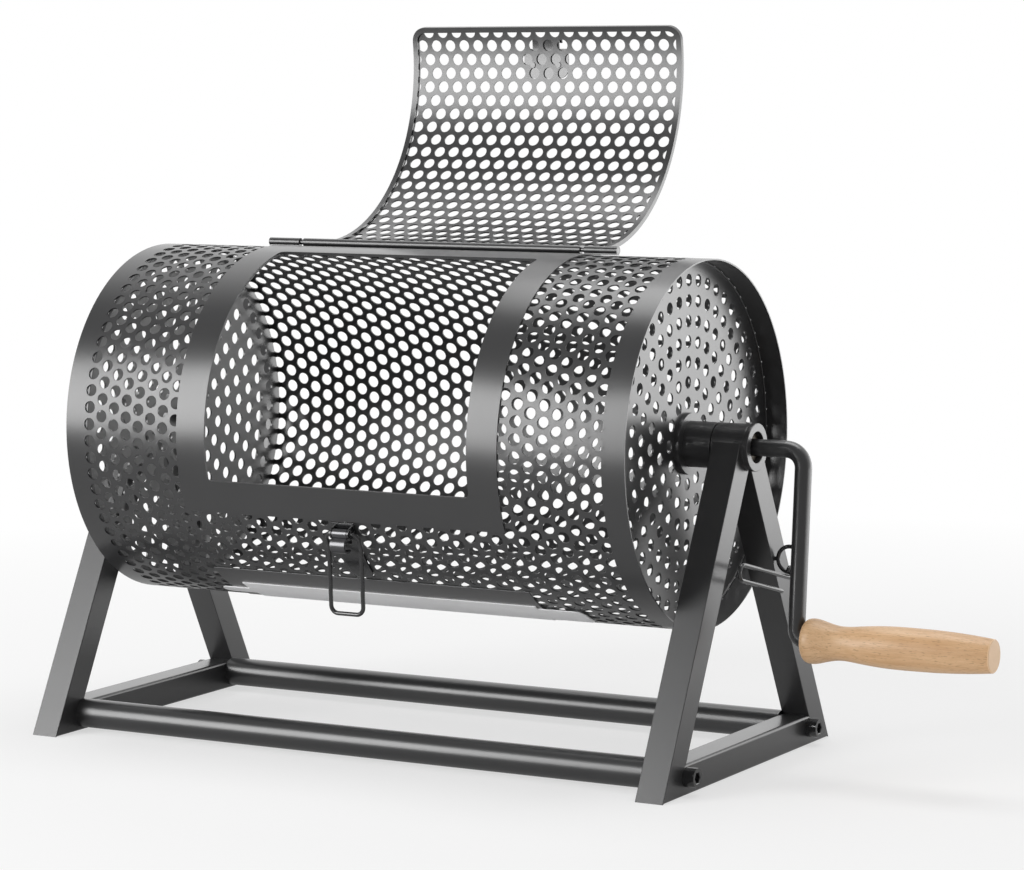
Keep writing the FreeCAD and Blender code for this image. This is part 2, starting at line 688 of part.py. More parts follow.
KEEPER_RIVET_ANGLE = keeper_angle(KEEPER_FROM_EDGE + KEEPER_LENGTH - KEEPER_RIVET_FROM_END)
KEEPER_TOP = PANEL_OUTER + KEEPER_THICKNESS
RIVET_SEAT = math.sqrt(PANEL_INNER ** 2 - (KEEPER_RIVET_DIAMETER / 2) ** 2)


def keeper_rivet_shanks():
    """The shanks of the two keeper rivets."""
    shanks = []
    for side in (-1, 1):
        x = side * KEEPER_RIVET_SPACING / 2
        start = on_drum(RIVET_SEAT, KEEPER_RIVET_ANGLE, x)
        end = on_drum(KEEPER_TOP, KEEPER_RIVET_ANGLE, x)
        shanks.append(rod(start, end, KEEPER_RIVET_DIAMETER / 4))
    return shanks


def keeper_rivets():
    """Two rivets with a head on each side of the keeper and the door sheet."""
    rivets = []
    facing = outward(KEEPER_RIVET_ANGLE)
    for shank, side in zip(keeper_rivet_shanks(), (-1, 1)):
        x = side * KEEPER_RIVET_SPACING / 2
        sink = KEEPER_RIVET_HEAD / 2
        outer = on_drum(KEEPER_TOP, KEEPER_RIVET_ANGLE, x)
        inner = on_drum(RIVET_SEAT, KEEPER_RIVET_ANGLE, x)
        heads = [rod(outer, outer + facing * KEEPER_RIVET_HEAD, KEEPER_RIVET_DIAMETER / 2),
                 rod(inner - facing * sink, inner, KEEPER_RIVET_DIAMETER / 2)]
        rivets.append(shank.multiFuse(heads))
    return Part.makeCompound(rivets)


def keeper():
    """Plate on the door with a folded lip at its neck that the bail goes over."""
    low = keeper_angle(KEEPER_FROM_EDGE)
    shoulder = keeper_angle(KEEPER_FROM_EDGE + KEEPER_NECK_LENGTH)
    high = keeper_angle(KEEPER_FROM_EDGE + KEEPER_LENGTH)
    lip_end = keeper_angle(KEEPER_FROM_EDGE + KEEPER_THICKNESS * 3)
    lip_top = PANEL_OUTER + KEEPER_LIP
    neck_end = keeper_angle(KEEPER_FROM_EDGE + KEEPER_NECK_LENGTH + KEEPER_THICKNESS)
    wall_end = keeper_angle(KEEPER_FROM_EDGE + KEEPER_THICKNESS)
    parts = [curved_sheet(KEEPER_NECK_HALF_WIDTH, PANEL_OUTER, KEEPER_TOP, low, neck_end),
             curved_sheet(KEEPER_NECK_HALF_WIDTH, PANEL_OUTER, lip_top, low, wall_end),
             curved_sheet(KEEPER_NECK_HALF_WIDTH, lip_top - KEEPER_THICKNESS, lip_top, low, lip_end)]
    plate = curved_sheet(KEEPER_HALF_WIDTH, PANEL_OUTER, KEEPER_TOP, shoulder, high, 0, KEEPER_CORNER)
    plate = plate.multiFuse(parts).removeSplitter()
    for shank in keeper_rivet_shanks():
        plate = plate.cut(shank)
    return plate


# Latch

LATCH_PIVOT = on_drum(LATCH_PIVOT_RADIUS, LATCH_PIVOT_ANGLE)


def latch_base():
    """Plate on the shell below the mouth with two ears for the pin."""
    base = curved_sheet(LATCH_BASE_HALF_WIDTH, DRUM_RADIUS, LATCH_BASE_TOP,
                        LATCH_BASE_LOW, LATCH_BASE_HIGH, LATCH_BASE_CORNER)
    inner = LEVER_HALF_WIDTH + LEVER_SIDE_GAP
    foot_radius = (DRUM_RADIUS + LATCH_BASE_TOP) / 2
    ears = []
    for start in (inner, -inner - LATCH_EAR_THICKNESS):
        end = start + LATCH_EAR_THICKNESS
        ears.append(radial_block(start, end, LATCH_PIVOT_ANGLE, LATCH_EAR_HALF_WIDTH,
                                 foot_radius, LATCH_PIVOT_RADIUS))
        ears.append(rod(*axial(start, end, LATCH_PIVOT), LATCH_EAR_HALF_WIDTH))
    plate = base.multiFuse(ears)
    return plate.cut(rod(*axial(-LATCH_BASE_HALF_WIDTH, LATCH_BASE_HALF_WIDTH, LATCH_PIVOT),
                         LATCH_PIN_DIAMETER / 2))


def latch_pin():
    """Hollow pin through the ears, which also takes the ends of the bail."""
    ends = axial(-LATCH_PIN_HALF_LENGTH, LATCH_PIN_HALF_LENGTH, LATCH_PIVOT)
    return tube(*ends, LATCH_PIN_DIAMETER / 2, BAIL_WIRE / 2 + RUNNING_CLEARANCE)


def latch_lever():
    """Barrel on the pin with a sheet curled round into a finger end."""
    ends = axial(-LEVER_HALF_WIDTH, LEVER_HALF_WIDTH, LATCH_PIVOT)
    down = downward(LATCH_PIVOT_ANGLE)
    out = outward(LATCH_PIVOT_ANGLE)
    centre = LATCH_PIVOT + down * LEVER_CURL_DROP + out * LEVER_CURL_LIFT
    outer_radius = LEVER_CURL_DIAMETER / 2
    curl = tube(*axial(-LEVER_HALF_WIDTH, LEVER_HALF_WIDTH, centre), outer_radius, outer_radius - LEVER_SHEET)
    half_gap = math.radians(LEVER_CURL_GAP_ANGLE / 2)
    reach = LEVER_CURL_DIAMETER
    edges = [(down - out).normalize() * math.cos(turn) + (down + out).normalize() * math.sin(turn)
             for turn in (half_gap, -half_gap)]
    gap = prism([(centre.y, centre.z)] + [(centre.y + edge.y * reach, centre.z + edge.z * reach)
                                          for edge in edges], -LEVER_HALF_WIDTH, LEVER_HALF_WIDTH)
    barrel = rod(*ends, LEVER_BARREL_DIAMETER / 2)
    bore = rod(*ends, LATCH_PIN_DIAMETER / 2 + RUNNING_CLEARANCE)
    return curl.cut(gap).fuse(barrel).cut(bore)


def latch_bail():
    """Wire loop whose two ends turn in the hollow pin."""
    tail = FreeCAD.Vector(LATCH_PIN_HALF_LENGTH - BAIL_TAIL, LATCH_PIVOT.y, LATCH_PIVOT.z)
    corner = FreeCAD.Vector(BAIL_HALF_WIDTH, LATCH_PIVOT.y, LATCH_PIVOT.z)
    shoulder = corner + Y_AXIS * BAIL_SHOULDER_IN - Z_AXIS * BAIL_SHOULDER_DROP
    foot = FreeCAD.Vector(BAIL_HALF_WIDTH, shoulder.y + BAIL_LEAN, LATCH_PIVOT.z - BAIL_DROP)
    half = [tail, corner, shoulder, foot]
    other_half = [FreeCAD.Vector(-point.x, point.y, point.z) for point in reversed(half)]
    first_bend = BAIL_HALF_WIDTH - LATCH_PIN_HALF_LENGTH
    bends = [first_bend, BAIL_BEND, BAIL_BEND, BAIL_BEND, BAIL_BEND, first_bend]
    return bent_rod(half + other_half, bends, BAIL_WIRE / 2)


def pieces():
    """Every piece by name, drawn about the drum."""
    leg = rear_leg()
    bar = foot_bar()
    plate = end_plate()
    screw = grub_screw()
    return {
        "right_rear_leg": leg,
        "right_front_leg": other_side(leg),
        "left_rear_leg": other_end(leg),
        "left_front_leg": other_end(other_side(leg)),
        "right_foot_bar": bar,
        "left_foot_bar": other_end(bar),
        "front_rail": rail(-1),
        "rear_rail": rail(1),
        "rail_plugs": at_rail_ends(rail_plug()),
        "rail_bolts": at_rail_ends(rail_bolt()),
        "right_bearing_housing": bearing_housing(),
        "left_bearing_housing": other_end(bearing_housing()),
        "right_bearing_bush": bearing_bush(),
        "left_bearing_bush": other_end(bearing_bush()),
        "right_housing_ring": housing_ring(),
        "left_housing_ring": other_end(housing_ring()),
        "hook_eye": hook_eye(),
        "wire_hook": wire_hook(),
        "drum_shell": drum_shell(),
        "mouth_surround": mouth_surround(),
        "lower_band": lower_band(),
        "bare_plate": bare_plate(),
        "right_end_plate": plate,
        "left_end_plate": other_end(plate),
        "right_hub": hub(),
        "left_hub": other_end(hub()),
        "hub_grub_screws": Part.makeCompound([screw, other_end(screw)]),
        "left_axle": left_axle(),
        "crank_rod": crank_rod(),
        "grip_retainer": grip_retainer(),
        "crank_grip": crank_grip(),
        "right_hinge_knuckle": hinge_knuckle(),
        "left_hinge_knuckle": other_end(hinge_knuckle()),
        "door_panel": opened(door_panel()),
        "door_rim": opened(door_rim()),
        "door_hinge_sleeve": opened(door_hinge_sleeve()),
        "door_hinge_rod": opened(door_hinge_rod()),
        "keeper": opened(keeper()),
        "keeper_rivets": opened(keeper_rivets()),
        "latch_base": latch_base(),
        "latch_pin": latch_pin(),
        "latch_lever": latch_lever(),
        "latch_bail": latch_bail(),
    }


def main():
    """Move every piece so that the origin is the middle of the footprint, and write it."""
    os.makedirs("parts", exist_ok=True)
    shapes = pieces()
    box = Part.makeCompound(list(shapes.values())).optimalBoundingBox(False, False)
    origin = FreeCAD.Vector(box.Center.x, box.Center.y, box.ZMin)
    print("drum axis and floor under it, from the origin:", -origin.x, -origin.y, -origin.z)
    for name, shape in shapes.items():
        placed = shape.translated(origin * -1)
        if not placed.isValid():
            print("not valid:", name)
        placed.exportStep(os.path.join("parts", name + ".step"))


main()
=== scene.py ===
"""Raffle drum with crank: the finished look of the drum, its stand, door, latch and grip.

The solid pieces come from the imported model. This script rolls the perforated sheets, rounds the edges of
tubes, sheets and turned pieces, gives every piece its finish, and sets up a plain studio.
Sizes are in metres. Angles round the drum start at the front and rise over the top.
"""

import json
import math

import bmesh
import bpy
from mathutils import Matrix, Vector

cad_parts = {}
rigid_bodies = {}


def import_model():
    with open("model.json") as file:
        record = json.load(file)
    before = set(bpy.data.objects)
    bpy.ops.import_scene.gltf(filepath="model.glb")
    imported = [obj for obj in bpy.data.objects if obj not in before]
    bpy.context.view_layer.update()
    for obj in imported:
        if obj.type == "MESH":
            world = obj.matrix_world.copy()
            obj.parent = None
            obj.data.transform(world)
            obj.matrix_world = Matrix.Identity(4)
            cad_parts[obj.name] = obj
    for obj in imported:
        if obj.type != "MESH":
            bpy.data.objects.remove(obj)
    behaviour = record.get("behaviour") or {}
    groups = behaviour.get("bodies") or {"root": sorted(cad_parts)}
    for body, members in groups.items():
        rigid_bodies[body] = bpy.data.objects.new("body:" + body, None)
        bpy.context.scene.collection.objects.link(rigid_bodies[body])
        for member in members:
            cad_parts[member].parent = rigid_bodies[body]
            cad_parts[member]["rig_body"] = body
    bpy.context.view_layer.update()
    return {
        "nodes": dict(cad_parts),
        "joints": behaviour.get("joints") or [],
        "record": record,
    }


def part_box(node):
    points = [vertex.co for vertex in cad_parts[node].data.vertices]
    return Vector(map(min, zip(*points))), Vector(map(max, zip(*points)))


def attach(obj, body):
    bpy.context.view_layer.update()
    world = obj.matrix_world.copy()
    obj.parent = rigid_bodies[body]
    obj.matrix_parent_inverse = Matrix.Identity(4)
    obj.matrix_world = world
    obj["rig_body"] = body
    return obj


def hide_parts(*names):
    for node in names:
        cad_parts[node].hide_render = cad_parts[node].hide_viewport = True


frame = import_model()

bl_info = {
    "name": "Raffle drum with crank",
    "version": (1, 0, 0),
    "blender": (4, 5, 0),
    "location": "View3D > Sidebar > Raffle drum",
    "description": "Rolls the perforated sheets and finishes the drum, its stand and its grip",
    "category": "Object",
}

MM = 0.001
SHEET_MERGE = 0.02 * MM
SOLID_MERGE = 0.002 * MM
CUT_MERGE = 0.001 * MM
FLAT_ANGLE = math.radians(0.3)
SHARP_ANGLE = math.radians(32)
RIDGE_ANGLE = math.radians(50)
LONGEST_HOLE_SIDE = 3 * MM
JOINTS = {joint["name"]: joint for joint in frame["joints"]}
DRUM_AXIS = Vector(JOINTS["drum_spin"]["pos_m"])
SHELL_LOW, SHELL_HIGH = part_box("drum_shell")
DRUM_RADIUS = (SHELL_HIGH.z - SHELL_LOW.z) / 2
DRUM_HALF = (SHELL_HIGH.x - SHELL_LOW.x) / 2
DRUM_MIDDLE = Vector(((SHELL_LOW.x + SHELL_HIGH.x) / 2, DRUM_AXIS.y, DRUM_AXIS.z))
HINGE_POINT = Vector(JOINTS["door_hinge"]["pos_m"])
DOOR_OPENING = JOINTS["door_hinge"]["range_deg"][1]
GRIP_AXIS = Vector(JOINTS["grip_spin"]["pos_m"])
GRIP_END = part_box("crank_grip")[1]


# Sizes and colours

def length(name, description, default):
    """A length property, in metres."""
    return bpy.props.FloatProperty(name=name, description=description, default=default,
                                   unit="LENGTH", precision=5)


def angle(name, description, default):
    """An angle property, with its default in degrees."""
    return bpy.props.FloatProperty(name=name, description=description,
                                   default=math.radians(default), subtype="ANGLE")


def colour(name, description, default):
    """A colour property."""
    return bpy.props.FloatVectorProperty(name=name, description=description, default=default,
                                         size=3, min=0, max=1, subtype="COLOR")


def number(name, description, default):
    """A plain number property."""
    return bpy.props.FloatProperty(name=name, description=description, default=default)


def count(name, description, default):
    """A whole number property."""
    return bpy.props.IntProperty(name=name, description=description, default=default, min=1)


class ShellSizes(bpy.types.PropertyGroup):
    """Sizes of the perforated shell."""
    sheet: length("Sheet", "Thickness of the rolled sheet", 1.2 * MM)
    hole: length("Hole", "Diameter of the round holes", 10.5 * MM)
    hole_sides: count("Hole sides", "Straight sides that a round hole is made of", 18)
    columns: count("Columns", "Columns of holes along the drum", 40)
    column_pitch: length("Column pitch", "Distance between neighbouring columns", 12.52 * MM)
    holes_round: count("Holes round", "Holes in one column, all the way round", 66)
    first_hole: angle("First hole", "Angle of the first hole of an even column", -0.1)
    mouth_half_width: length("Mouth half width", "Half the width of the mouth", 126 * MM)
    mouth_low: angle("Mouth low", "Angle of the mouth's lower edge", -13.4)
    mouth_high: angle("Mouth high", "Angle of the mouth's upper edge", 78.5)
    mouth_corner: length("Mouth corner", "Radius of the mouth's corners", 4.5 * MM)
    cover_half_width: length("Cover half width", "Half the width of the plain sheets", 154 * MM)
    surround_low: angle("Surround low", "Angle of the surround's lower edge", -24.3)
    surround_high: angle("Surround high", "Angle of the surround's upper edge", 104)
    band_low: angle("Band low", "Angle of the lower band's lower edge", -74)
    band_high: angle("Band high", "Angle of the lower band's upper edge", -49.5)
    cover_margin: length("Cover margin", "How far inside a plain sheet the holes stop", 5.5 * MM)


class DoorSizes(bpy.types.PropertyGroup):
    """Sizes of the perforated door sheet."""
    sheet: length("Sheet", "Thickness of the door sheet", 1.2 * MM)
    outer_radius: length("Outer radius", "Radius of the sheet's outer face round the drum", 156.5 * MM)
    half_width: length("Half width", "Half the width of the sheet", 135.5 * MM)
    free_angle: angle("Free edge", "Angle of the sheet's free edge when the door is shut", -16.66)
    hinge_angle: angle("Hinge edge", "Angle of the sheet's edge at the hinge sleeve", 97.45)
    corner: length("Corner", "Radius of the two free corners", 11.5 * MM)
    pitch: length("Pitch", "Distance between neighbouring holes", 14.5 * MM)
    row_shift: length("Row shift", "Sideways place of the first row's middle hole", 10.25 * MM)
    first_row: length("First row", "Distance of the first row of holes from the free edge", 3.2 * MM)


class EdgeSizes(bpy.types.PropertyGroup):
    """Rounding of the edges of tubes, sheets and turned pieces."""
    tube_corner: length("Tube corner", "Rounding of the long corners of the square tube", 2.5 * MM)
    bolt_edge: length("Bolt edge", "Rounding of the bolt heads", 1.3 * MM)
    turned_edge: length("Turned edge", "Rounding of hubs, housings and rings", 0.6 * MM)
    sheet_edge: length("Sheet edge", "Rounding of sheet edges", 0.3 * MM)
    lip_edge: length("Lip edge", "Rounding of the lips of the end plates", 0.5 * MM)
    grip_edge: length("Grip edge", "Rounding of the end of the grip", 1.2 * MM)


class Finishes(bpy.types.PropertyGroup):
    """Colours of the finishes."""
    paint: colour("Paint", "Satin black powder coat", (0.019, 0.019, 0.020))
    paint_worn: colour("Worn paint", "Rubbed places of the powder coat", (0.034, 0.034, 0.035))
    beech: colour("Beech", "Light wood of the grip", (0.78, 0.52, 0.30))
    beech_late: colour("Late wood", "Darker wood of the grip", (0.58, 0.33, 0.155))
    plating: colour("Plating", "Dark plating of the latch lever", (0.16, 0.16, 0.165))
    black_plating: colour("Black plating", "Wires, latch base, keeper and bolts", (0.014, 0.014, 0.015))
    bare: colour("Bare steel", "Turned and bare steel", (0.55, 0.55, 0.56))
    # The plate's near-white colour is partly its own light satin metal and partly a painted reflection of
    # the white floor.
    plate: colour("Bare plate", "The bare plate under the latch", (0.93, 0.93, 0.94))
    # The bushes are coloured near black, far darker than bronze: painted shade of the recess in each
    # housing.
    bronze: colour("Bronze", "Oiled bearing bushes", (0.060, 0.052, 0.042))


class Studio(bpy.types.PropertyGroup):
    """The camera, the floor, the surroundings and the lamps."""
    turn: angle("Turn", "How far round the camera stands from the front", 29.74)
    rise: angle("Rise", "How far above the level the camera stands", 4.86)
    roll: angle("Roll", "How far the camera is rolled", -0.315)
    distance: length("Distance", "From the camera to the point it looks at", 3.0411)
    target_across: length("Target across", "Point looked at, along the drum from its middle", 39.43 * MM)
    target_height: length("Target height", "Height of the point looked at", 337.18 * MM)
    lens: number("Lens", "Focal length in millimetres", 126.09)
    shift_x: number("Shift x", "Sideways shift of the picture", 0.0445)
    shift_y: number("Shift y", "Upward shift of the picture", -0.0857)
    floor: colour("Floor", "Pale floor", (0.90, 0.90, 0.90))
    floor_share: number("Floor share", "Share of the floor by the drum that the lamps light", 0.40)
    floor_reach: length("Floor reach", "Distance at which the floor is as white as the background", 1.5)
    floor_shine_front: number("Front floor shine", "Brightness of the front floor in reflections", 0.35)
    floor_shine_right: number("Right floor shine", "Added brightness of the floor behind on the right", 2.1)
    wall_shine: number("Wall shine", "Brightness of the wall behind in reflections", 1.3)
    sky: number("Sky", "Brightness of the surroundings", 0.34)
    front_left_power: number("Front left power", "Watts of the soft box at the front left", 58)
    back_right_power: number("Back right power", "Watts of the soft box at the back right", 11)
    top_power: number("Top power", "Watts of the soft box above", 29)


# Shader building

class Socket:
    """A shader value that takes part in sums like a number."""

    def __init__(self, finish, link):
        self.finish = finish
        self.link = link

    def sum(self, operation, first, second):
        """A Math node on two values."""
        return self.finish.add("Math", {"operation": operation}, {0: first, 1: second})

    def __add__(self, other):
        return self.sum("ADD", self, other)

    def __radd__(self, other):
        return self.sum("ADD", other, self)

    def __sub__(self, other):
        return self.sum("SUBTRACT", self, other)

    def __rsub__(self, other):
        return self.sum("SUBTRACT", other, self)

    def __mul__(self, other):
        return self.sum("MULTIPLY", self, other)

    def __rmul__(self, other):
        return self.sum("MULTIPLY", other, self)


class Finish:
    """A material, or the surroundings, while its nodes are put together."""

    def __init__(self, name, owner=None):
        self.material = owner or bpy.data.materials.new("finish_" + name)
        self.material.use_nodes = True
        self.tree = self.material.node_tree
        self.tree.nodes.clear()

    def add(self, kind, settings=None, inputs=None, output=0):
        """One node: its settings are set first, then its sockets. Gives one of its outputs."""
        node = self.tree.nodes.new("ShaderNode" + kind)
        for name, value in (settings or {}).items():
            if name == "stops":
                self.set_stops(node.color_ramp.elements, value)
            else:
                setattr(node, name, value)
        for name, value in (inputs or {}).items():
            if isinstance(value, Socket):
                self.tree.links.new(value.link, node.inputs[name])
            else:
                node.inputs[name].default_value = value
        return Socket(self, node.outputs[output]) if node.outputs else None

    @staticmethod
    def set_stops(elements, stops):
        """Gives a ramp its stops, each a position and a grey level."""
        while len(elements) < len(stops):
            elements.new(1)
        for element, (position, grey) in zip(elements, stops):
            element.position = position
            element.color = (grey, grey, grey, 1)

    def place(self, centre=(0, 0, 0), scale=(1, 1, 1)):
        """Object coordinates from a centre, stretched by a scale."""
        coordinates = self.add("TexCoord", output="Object")
        shifted = self.add("VectorMath", {"operation": "SUBTRACT"}, {0: coordinates, 1: centre})
        return self.add("VectorMath", {"operation": "MULTIPLY"}, {0: shifted, 1: scale})

    def noise(self, place, scale, detail=2.0, roughness=0.5):
        """Noise from 0 to 1."""
        return self.add("TexNoise", inputs={"Vector": place, "Scale": scale, "Detail": detail,
                                            "Roughness": roughness})

    def ramp(self, value, stops):
        """A value read through a ramp of grey stops."""
        return self.add("ValToRGB", {"stops": stops}, {"Fac": value})

    def mix(self, factor, first, second):
        """A blend of two colours."""
        return self.add("Mix", {"data_type": "RGBA"}, {0: factor, 6: first, 7: second}, 2)

    def straight_rays(self):
        """1 for what the camera sees straight, and 0 for everything else."""
        return self.add("LightPath", output="Is Camera Ray")

    def mirrored_rays(self):
        """1 for what is seen mirrored or through glass, and 0 for everything else."""
        glossy = self.add("LightPath", output="Is Glossy Ray")
        return glossy + self.add("LightPath", output="Is Transmission Ray")

    def bump(self, height, strength, distance):
        """A normal from a height."""
        return self.add("Bump", inputs={"Height": height, "Strength": strength, "Distance": distance})

    def surface(self, inputs):
        """The finished surface."""
        shader = self.add("BsdfPrincipled", inputs=inputs)
        self.add("OutputMaterial", inputs={"Surface": shader})
        return self.material


def rgba(value):
    """A colour with full alpha."""
    return (value[0], value[1], value[2], 1.0)


def powder_coat(name, base, worn, roughness, grain, coat=0.3):
    """Satin powder coat: a fine orange peel, cloudy gloss and a little rubbing."""
    finish = Finish(name)
    place = finish.place()
    clouds = finish.noise(place, 16, 2.0)
    patches = finish.noise(place, 70, 3.0, 0.5)
    peel = finish.noise(place, 800, 2.0)
    specks = finish.noise(place, 2600, 1.0)
    shade = finish.mix(clouds * 0.5 + specks * 0.2, rgba(base), rgba(worn))
    gloss = roughness + 0.05 * (clouds - 0.5) + 0.025 * (patches - 0.5) + 0.05 * (specks - 0.5)
    height = peel + specks * 0.25
    return finish.surface({"Base Color": shade, "Roughness": gloss, "Specular IOR Level": 0.8,
                           "Coat Weight": coat, "Coat Roughness": 0.24,
                           "Normal": finish.bump(height, grain, 0.25 * MM)})


def bare_metal(name, base, roughness, stretch, contrast, metallic=1.0):
    """Metal with fine lines across one direction."""
    finish = Finish(name)
    lines = finish.noise(finish.place(scale=stretch), 60, 4.0, 0.65)
    clouds = finish.noise(finish.place(), 30, 2.0)
    dark = tuple(channel * (1 - contrast) for channel in base)
    shade = finish.mix(lines, rgba(dark), rgba(base))
    gloss = roughness + 0.16 * (lines - 0.5) + 0.10 * (clouds - 0.5)
    return finish.surface({"Base Color": shade, "Metallic": metallic, "Roughness": gloss,
                           "Normal": finish.bump(lines, 0.12, 0.1 * MM)})


def lacquered_beech(name, early, late):
    """Beech turned along its grain: fibres, short dark flecks, a painted highlight on the end face and a
    thin satin lacquer.
    """
    finish = Finish(name)
    fibres = finish.noise(finish.place(GRIP_AXIS, (30, 620, 620)), 1.0, 4.0, 0.65)
    streaks = finish.noise(finish.place(GRIP_AXIS, (12, 170, 170)), 1.0, 3.0, 0.6)
    tint = finish.noise(finish.place(GRIP_AXIS, (14, 34, 34)), 1.0, 2.0)
    flecks = finish.noise(finish.place(GRIP_AXIS, (190, 1300, 1300)), 1.0, 1.0)
    fleck = finish.ramp(flecks, [(0.60, 0.0), (0.70, 1.0)])
    grain = finish.ramp(fibres * 0.40 + streaks * 0.35 + tint * 0.25, [(0.36, 0.0), (0.66, 1.0)])
    long_grain = finish.mix(grain, rgba(early), rgba(late))
    dark = tuple(channel * 0.66 for channel in late)
    turned = finish.mix(fleck * 0.6, long_grain, rgba(dark))
    # The end face of the grip is painted paler than the wood: a painted highlight where light falls on the
    # end.
    along = finish.add("SeparateXYZ", inputs={"Vector": finish.place(GRIP_END, (1000, 1, 1))}, output="X")
    end = finish.ramp(along * 0.2 + 0.5, [(0.28, 0.0), (0.36, 1.0)])
    pale = tuple(min(1.0, channel * 1.16 + 0.03) for channel in early)
    shade = finish.mix(end, turned, rgba(pale))
    gloss = 0.36 + 0.16 * fibres
    return finish.surface({"Base Color": shade, "Roughness": gloss, "Coat Weight": 0.15,
                           "Coat Roughness": 0.25,
                           "Normal": finish.bump(fibres + streaks - fleck * 0.6, 0.22, 0.15 * MM)})


def make_finishes(finishes):
    """Every finish, named for its slot in the record."""
    paint, worn, plating = tuple(finishes.paint), tuple(finishes.paint_worn), tuple(finishes.black_plating)
    turned = (4, 1, 1)
    along = (0.2, 30, 30)
    powder_coat("black_paint", paint, worn, 0.31, 0.045)
    powder_coat("dark_steel", plating, paint, 0.17, 0.02)
    powder_coat("hook_steel", plating, worn, 0.12, 0.02, 0.0)
    bare_metal("latch_steel", tuple(finishes.plating), 0.30, along, 0.25)
    bare_metal("bare_steel", tuple(finishes.bare), 0.30, turned, 0.2)
    # Low metallic and a near-white colour: the plate's brightness is partly a painted reflection of the
    # white floor.
    bare_metal("satin_steel", tuple(finishes.plate), 0.36, along, 0.12, 0.10)
    # Near-black bronze: painted shade of the recess in each housing.
    bare_metal("bronze", tuple(finishes.bronze), 0.42, turned, 0.3)
    lacquered_beech("beech", tuple(finishes.beech), tuple(finishes.beech_late))


SLOTS = {part["node"]: part["material_slot"] for part in frame["record"]["subparts"]}


def finish_of(node):
    """The finish of a CAD node."""
    return bpy.data.materials["finish_" + SLOTS[node]]


# Mesh building

def finished_object(bm, name, node, body):
    """A mesh object that takes a CAD node's place, body and finish."""
    mesh = bpy.data.meshes.new(name)
    bm.to_mesh(mesh)
    bm.free()
    mesh.polygons.foreach_set("use_smooth", [True] * len(mesh.polygons))
    mesh.set_sharp_from_angle(angle=SHARP_ANGLE)
    mesh.materials.append(finish_of(node))
    piece = bpy.data.objects.new(name, mesh)
    bpy.context.scene.collection.objects.link(piece)
    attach(piece, body)
    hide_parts(node)
    return piece


def sheet_cell(reach, turn, hole, hole_sides):
    """One flat six-sided cell of a sheet, with a round hole where hole is above 0."""
    bm = bmesh.new()
    bmesh.ops.create_circle(bm, segments=6, radius=reach, cap_ends=hole <= 0)
    bmesh.ops.rotate(bm, verts=bm.verts, cent=(0, 0, 0), matrix=Matrix.Rotation(turn, 3, "Z"))
    if hole > 0:
        rim = bmesh.ops.create_circle(bm, segments=hole_sides, radius=hole / 2)["verts"]
        bmesh.ops.rotate(bm, verts=rim, cent=(0, 0, 0), matrix=Matrix.Rotation(turn, 3, "Z"))
        bmesh.ops.bridge_loops(bm, edges=bm.edges)
    cell = bpy.data.meshes.new("cell")
    bm.to_mesh(cell)
    bm.free()
    return cell


def lay_cells(places, plain, holed):
    """A flat sheet of cells. Each place is (across, along, whether it has a hole)."""
    bm = bmesh.new()
    for across, along, has_hole in places:
        cell = (holed if has_hole else plain).copy()
        cell.transform(Matrix.Translation((across, along, 0)))
        bm.from_mesh(cell)
        bpy.data.meshes.remove(cell)
    bmesh.ops.remove_doubles(bm, verts=bm.verts, dist=SHEET_MERGE)
    face_up(bm)
    return bm


def face_up(bm):
    """Turns the faces of a flat sheet upwards."""
    down = [face for face in bm.faces if face.normal.z < 0]
    bmesh.ops.reverse_faces(bm, faces=down)
    bm.normal_update()


def everything(bm):
    """All of a mesh's parts, as an operator takes them."""
    return bm.verts[:] + bm.edges[:] + bm.faces[:]


def cut_line(bm, point, direction, faces=None, clear=False):
    """Cuts a flat sheet along a line, and clears what lies beyond it where asked."""
    if faces is None:
        geometry = everything(bm)
    else:
        geometry = list({part for face in faces for part in (*face.verts, *face.edges)}) + list(faces)
    bmesh.ops.bisect_plane(bm, geom=geometry, dist=CUT_MERGE, plane_co=(point[0], point[1], 0),
                           plane_no=(direction[0], direction[1], 0), clear_outer=clear)


def thicken(bm, sheet):
    """Gives a flat sheet, with its outer face up, a wall downwards."""
    bm.normal_update()
    lower = bm.verts[:]
    bmesh.ops.extrude_face_region(bm, geom=bm.faces[:], use_keep_orig=True)
    bmesh.ops.translate(bm, verts=lower, vec=(0, 0, -sheet))


def roll(bm, radius):
    """Rolls a flat sheet round the drum's axis. Its up side becomes the outside."""
    for vert in bm.verts:
        turn = vert.co.y / radius
        reach = radius + vert.co.z
        vert.co = DRUM_MIDDLE + Vector((vert.co.x, -reach * math.cos(turn), reach * math.sin(turn)))


# Perforated shell

def shell_is_covered(sizes, across, turn):
    """Whether a hole of the shell would lie wholly under one of the plain sheets."""
    margin = sizes.cover_margin
    lean = margin / DRUM_RADIUS
    if abs(across) > sizes.cover_half_width - margin:
        return False
    under_surround = sizes.surround_low + lean < turn < sizes.surround_high - lean
    under_band = sizes.band_low + lean < turn < sizes.band_high - lean
    return under_surround or under_band


def shell_places(sizes, column_step, hole_step):
    """Where the cells of the unrolled shell lie."""
    places = []
    for column in range(sizes.columns):
        across = (column - (sizes.columns - 1) / 2) * column_step
        shift = 0.5 if column % 2 == 0 else 0.0
        for index in range(sizes.holes_round):
            turn = sizes.first_hole + (index + shift - sizes.holes_round // 2) * hole_step / DRUM_RADIUS
            places.append((across, turn * DRUM_RADIUS, not shell_is_covered(sizes, across, turn)))
    return places


